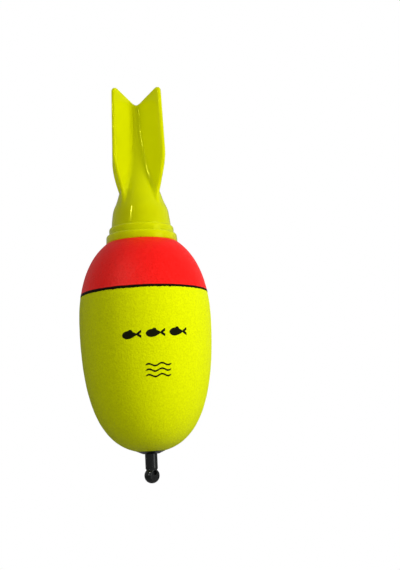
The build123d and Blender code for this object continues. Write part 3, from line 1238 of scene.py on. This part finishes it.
    def plain_profile(self) -> tuple[Profile, Profile]:
        """Turned surfaces: the hollow and skirt up to the flange's rim, and the foot."""
        bottom = self.land - self.skirt_length
        board = self.land - self.board_depth
        shoulder, top = self.foot_top + 2.4, self.neck - 2.2
        dome = []
        for step in range(13):
            t = 1 - step / 12
            r = (1 - t) ** 3 * self.throat + 3 * (1 - t) ** 2 * t * self.throat
            r += 1.5 * (1 - t) * t**2 * self.throat
            rise = 3 * (1 - t) ** 2 * t * 0.62 + 3 * (1 - t) * t**2 + t**3
            dome.append((r, shoulder + (top - shoulder) * rise))
        hollow = dome + [(self.throat, self.land + 2), (self.throat, board), (self.skirt_bore, board)]
        hollow += [(self.skirt_bore, bottom), (self.skirt_root - 0.3, bottom)]
        hollow += [(self.skirt_root, bottom + 0.3)]
        rim = self.flange_radius
        top_edge = self.land + self.flange_thickness
        hollow += [(self.skirt_root, self.land), (rim - 0.15, self.land), (rim, self.land + 0.15)]
        outside = [(rim - 0.05, top_edge - 1.5)]
        outside += quarter_round(rim - 1.0, top_edge - 0.9, 0.9, 0.9, 6)
        outside += [(self.foot_radius + 0.04, top_edge - 0.02), (self.foot_radius, top_edge + 0.8)]
        outside += quarter_round(self.foot_radius - 0.75, self.foot_top - 0.95, 0.75, 0.85, 8)
        outside.append((self.foot_radius - 0.9, self.foot_top - 0.04))
        return hollow, outside

    def build(self) -> None:
        """Build and dress the cap."""
        hollow, outside = self.plain_profile()
        eighth_count = self.end_steps + 1 + self.face_steps + self.valley_steps
        even = np.linspace(0, math.pi / 4, eighth_count)
        rows = [self.around([(phi, r, z) for phi in even]) for r, z in hollow + outside]
        bell = np.linspace(self.foot_top + 0.5, self.foot_top + 7, 14)
        vanes = np.linspace(self.foot_top + 7.4, self.widest, 56)
        for height in np.concatenate([bell, vanes]):
            ring = self.low_ring(float(height))
            rows.append(self.around([(phi, r, float(height)) for phi, r in ring]))
        rows += [self.around(ring) for ring in self.high_rings()]
        material = CAP_PLASTIC.material()
        thread = Coil(
            low=self.land - self.skirt_length + 1.2, rise=4.5, turns=2.25, start_radius=self.skirt_root,
            end_radius=self.skirt_root, width=1.2, depth=0.75, corners=12,
        ).build("skirt_thread", material)
        piece = joined("fin_cap_moulding", [self.skin(np.array(rows)), thread])
        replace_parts(finish_piece(piece, material, Body.CAP), "fin_cap")

    def skin(self, rows: np.ndarray) -> bpy.types.Object:
        """Join the rings and close the top of the core between the vanes.

        Args:
            rows: rings of points in mm.

        Returns:
            The cap.
        """
        rings, count, _ = rows.shape
        faces = []
        for ring in range(rings - 1):
            low, high = ring * count, (ring + 1) * count
            for i in range(count):
                j = (i + 1) % count
                faces.append((low + i, low + j, high + j, high + i))
        points = rows.reshape(-1, 3).tolist()
        points.append([0.0, 0.0, self.notch + self.slope * self.notch_round])
        middle = len(points) - 1
        quarter = count // 4
        first = self.end_steps + self.face_steps
        start = (rings - 1) * count
        for number in range(4):
            for i in range(number * quarter + first, (number + 1) * quarter - first):
                faces.append((start + i, start + (i + 1) % count, middle))
        for number in range(4):
            left = ((number + 1) * quarter - first) % count
            right = ((number + 1) * quarter + first) % count
            faces.append((start + left, start + right, middle))
        mesh = bpy.data.meshes.new("fin_cap_moulding")
        mesh.from_pydata([[c * MM for c in point] for point in points], [], faces)
        tidy_mesh(mesh, 38)
        return object_from("fin_cap_moulding", mesh)


# ---------------------------------------------------------------- stage, lights and camera


def show(tree: bpy.types.NodeTree, seen: bpy.types.Node, lit: bpy.types.Node, output: str) -> None:
    """Show the camera one shader, and light the scene with another.

    Args:
        tree: tree that holds both.
        seen: shader that the camera sees.
        lit: shader for every other ray.
        output: kind of the output node.
    """
    path = add_node(tree, "ShaderNodeLightPath")
    mix = add_node(
        tree, "ShaderNodeMixShader",
        {0: path.outputs["Is Camera Ray"], 1: lit.outputs[0], 2: seen.outputs[0]},
    )
    add_node(tree, output, {"Surface": mix.outputs[0]})


@dataclass
class Studio:
    """Camera, soft lights, white surroundings and the pale floor."""

    distance: float = 344.2
    height: float = 13.05
    pitch: float = 8.33
    yaw: float = 3.26
    roll: float = 2.96
    lens: float = 62.97
    lamp_distance: float = 0.8
    lamp_aim: float = 0.07
    room_light: float = 0.27
    floor_side: float = 4.0
    floor_level: float = -0.25
    floor_grey: float = 0.34

    def camera(self) -> None:
        """Place the camera."""
        data = bpy.data.cameras.new("camera")
        data.lens = self.lens
        data.sensor_width = 36.0
        data.clip_start = 0.01
        camera = bpy.data.objects.new("camera", data)
        bpy.context.scene.collection.objects.link(camera)
        aim = Matrix.Rotation(math.radians(-self.yaw), 4, "Z")
        aim = aim @ Matrix.Rotation(math.radians(90 + self.pitch), 4, "X")
        aim = aim @ Matrix.Rotation(math.radians(-self.roll), 4, "Z")
        camera.matrix_world = Matrix.Translation((0, -self.distance * MM, self.height * MM)) @ aim
        bpy.context.scene.camera = camera

    def lamp(
        self, name: str, azimuth: float, elevation: float, width: float, tall: float, watts: float,
        mirrored: bool = True, lights: bool = True,
    ) -> None:
        """Add one soft box that faces the middle of the float.

        Args:
            name: name of the light.
            azimuth: degrees to the right of the front.
            elevation: degrees above the level.
            width: width of the box in metres.
            tall: height of the box in metres.
            watts: its power.
            mirrored: False keeps it out of glossy surfaces.
            lights: False makes it a mere reflection.
        """
        data = bpy.data.lights.new(name, "AREA")
        data.shape = "RECTANGLE"
        data.size, data.size_y = width, tall
        data.energy = watts
        light = bpy.data.objects.new(name, data)
        side, up = math.radians(azimuth), math.radians(elevation)
        away = Vector((math.sin(side) * math.cos(up), -math.cos(side) * math.cos(up), math.sin(up)))
        middle = Vector((0.0, 0.0, self.lamp_aim))
        light.location = middle + away * self.lamp_distance
        light.rotation_euler = (-away).to_track_quat("-Z", "Y").to_euler()
        light.visible_glossy = mirrored
        light.visible_diffuse = lights
        bpy.context.scene.collection.objects.link(light)

    def surroundings(self) -> None:
        """White to look at, dimmer as a light."""
        world = bpy.data.worlds.new("white_room")
        world.use_nodes = True
        tree = world.node_tree
        tree.nodes.clear()
        seen = add_node(tree, "ShaderNodeBackground", {"Color": (1, 1, 1, 1), "Strength": 1.0})
        lit = add_node(
            tree, "ShaderNodeBackground", {"Color": (1, 1, 1, 1), "Strength": self.room_light}
        )
        show(tree, seen, lit, "ShaderNodeOutputWorld")
        bpy.context.scene.world = world

    def floor(self) -> None:
        """Plain floor well below the float: white to look at, grey as a reflector."""
        mesh = bpy.data.meshes.new("floor")
        side, level, grey = self.floor_side, self.floor_level, self.floor_grey
        corners = [(-side, -side, level), (side, -side, level), (side, side, level), (-side, side, level)]
        mesh.from_pydata(corners, [], [(0, 1, 2, 3)])
        floor = object_from("floor", mesh)
        material = bpy.data.materials.new("white_floor")
        material.use_nodes = True
        tree = material.node_tree
        tree.nodes.clear()
        seen = add_node(tree, "ShaderNodeEmission", {"Color": (1, 1, 1, 1), "Strength": 1.0})
        lit = add_node(tree, "ShaderNodeBsdfDiffuse", {"Color": (grey, grey, grey, 1)})
        show(tree, seen, lit, "ShaderNodeOutputMaterial")
        mesh.materials.append(material)

    def build(self) -> None:
        """Set the whole studio."""
        bpy.context.scene.view_settings.view_transform = "Standard"
        self.camera()
        self.surroundings()
        self.floor()
        self.lamp("key_right", 60, 14, 0.3, 0.4, 4.5, mirrored=False)
        self.lamp("front_fill", -5, 10, 0.5, 0.5, 1.35, mirrored=False)
        self.lamp("soft_right", 58, 2, 0.34, 0.5, 0.9)
        self.lamp("glint_bell", -40, 35, 0.012, 0.32, 1.2, lights=False)
        self.lamp("glint_left", -45, 11.2, 0.016, 0.045, 0.34, lights=False)
        self.lamp("glint_front", 11, 11.2, 0.014, 0.045, 0.34, lights=False)
        self.lamp("back_fill", 160, 20, 0.6, 0.6, 2.0, mirrored=False)


def dress_cad_nodes() -> None:
    """Give the hidden CAD nodes that stay their materials."""
    finishes = {
        "battery_cup": WHITE_ABS, "contact_carrier": WHITE_ABS,
        "cell_can": CELL_STEEL, "cell_cap": CELL_STEEL,
        "cell_gasket": GASKET_PLASTIC, "cell_core": CELL_PELLET, "seal_ring": NITRILE_RUBBER,
        "led_board": SOLDER_MASK, "led_lens": LAMP_EPOXY, "anode_lead": TINNED_WIRE,
        "cathode_lead": TINNED_WIRE, "resistor": CHIP_GLAZE, "contact_spring": SPRING_STEEL,
        "contact_finger_1": PHOSPHOR_BRONZE, "contact_finger_2": PHOSPHOR_BRONZE,
    }
    made: dict[str, bpy.types.Material] = {}
    for node, finish in finishes.items():
        if finish.name not in made:
            made[finish.name] = finish.material()
        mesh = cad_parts[node].data
        mesh.materials.clear()
        mesh.materials.append(made[finish.name])


def main() -> None:
    """Build every piece in order."""
    logging.basicConfig(level=logging.INFO, format="%(name)s: %(message)s")
    Studio().build()
    FoamEgg().build()
    LineStem().build()
    FinCap().build()
    dress_cad_nodes()


if __name__ == "__main__":
    main()
